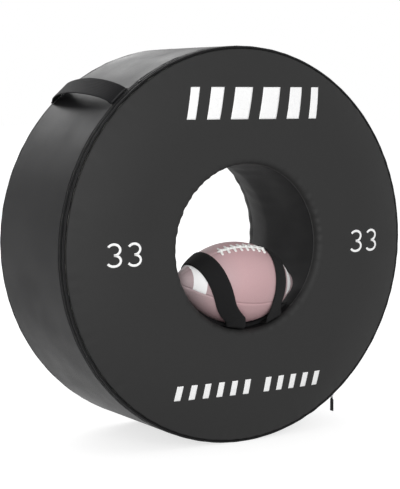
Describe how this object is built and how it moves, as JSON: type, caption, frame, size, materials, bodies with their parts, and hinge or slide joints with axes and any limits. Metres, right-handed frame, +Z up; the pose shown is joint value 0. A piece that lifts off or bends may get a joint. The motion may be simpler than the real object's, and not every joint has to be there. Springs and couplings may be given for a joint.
{
  "type": "tackling wheel",
  "caption": "Thick foam ring in a zipped black cover, with a webbing carry handle across its tread and elastic straps that hold a football in its central hole.",
  "frame": {"origin": "where the tread meets the ground, half way between the two rims", "axes": "+Z up, +Y along the wheel's axis from its front face (with the zip and the ball) to its back face, +X to the right seen from the front"},
  "size_m": [0.8372, 0.3773, 0.8373],
  "materials": {
    "foam": "open-cell polyurethane foam, rough",
    "cover_vinyl": "satin PVC-coated fabric, fine leather grain",
    "tread_vinyl": "satin PVC-coated fabric, fine leather grain",
    "piping": "satin vinyl wrapped round a cord",
    "zip_tape": "matt woven polyester",
    "zip_coil": "moulded nylon coil",
    "zip_metal": "nickel-plated zinc, bright",
    "pull_tab": "moulded rubbery plastic",
    "webbing": "woven nylon, ribbed lengthwise",
    "elastic": "woven elastic, fine ribs",
    "ball_leather": "pebbled leather, faded",
    "ball_rubber": "moulded rubber",
    "ball_lace": "white coated lace"
  },
  "bodies": {
    "wheel": {"foam_slab_front": "foam", "foam_slab_middle": "foam", "foam_slab_back": "foam", "tread_foam_wrap": "foam", "front_panel": "cover_vinyl", "back_panel": "cover_vinyl", "tread_panel": "tread_vinyl", "hole_lip_front": "cover_vinyl", "bore_sleeve": "cover_vinyl", "hole_lip_back": "cover_vinyl", "front_piping": "piping", "back_piping": "piping", "front_seam_band": "tread_vinyl", "zip_tape_front": "zip_tape", "zip_tape_back": "zip_tape", "zip_chain": "zip_coil", "zip_stop_closed_end": "zip_metal", "zip_stop_open_end": "zip_metal", "carry_handle": "webbing", "ball_seat_pad": "cover_vinyl", "ball_strap_left": "elastic", "ball_strap_right": "elastic"},
    "zip_slider": {"zip_slider": "zip_metal"},
    "zip_puller": {"zip_bail": "zip_metal", "zip_pull_tab": "pull_tab"},
    "ball": {"ball_panel_upper_front": "ball_leather", "ball_panel_upper_back": "ball_leather", "ball_panel_lower_front": "ball_leather", "ball_panel_lower_back": "ball_leather", "ball_bladder": "ball_rubber", "ball_laces": "ball_lace", "ball_valve": "ball_rubber"}
  },
  "joints": [
    {"name": "zip_travel", "type": "hinge", "parent": "wheel", "child": "zip_slider", "pos_m": [0, -0.1394, 0.41824], "axis": [0, -1, 0], "range_deg": [0, 177]},
    {"name": "puller_swing", "type": "hinge", "parent": "zip_slider", "child": "zip_puller", "pos_m": [0.24601, -0.1394, 0.07335], "axis": [0, -1, 0], "range_deg": [-49, 120]},
    {"name": "ball_roll", "type": "hinge", "parent": "wheel", "child": "ball", "pos_m": [-0.00598, -0.133, 0.34058], "axis": [0.9971, 0, -0.0767], "range_deg": [-75, 20]}
  ]
}
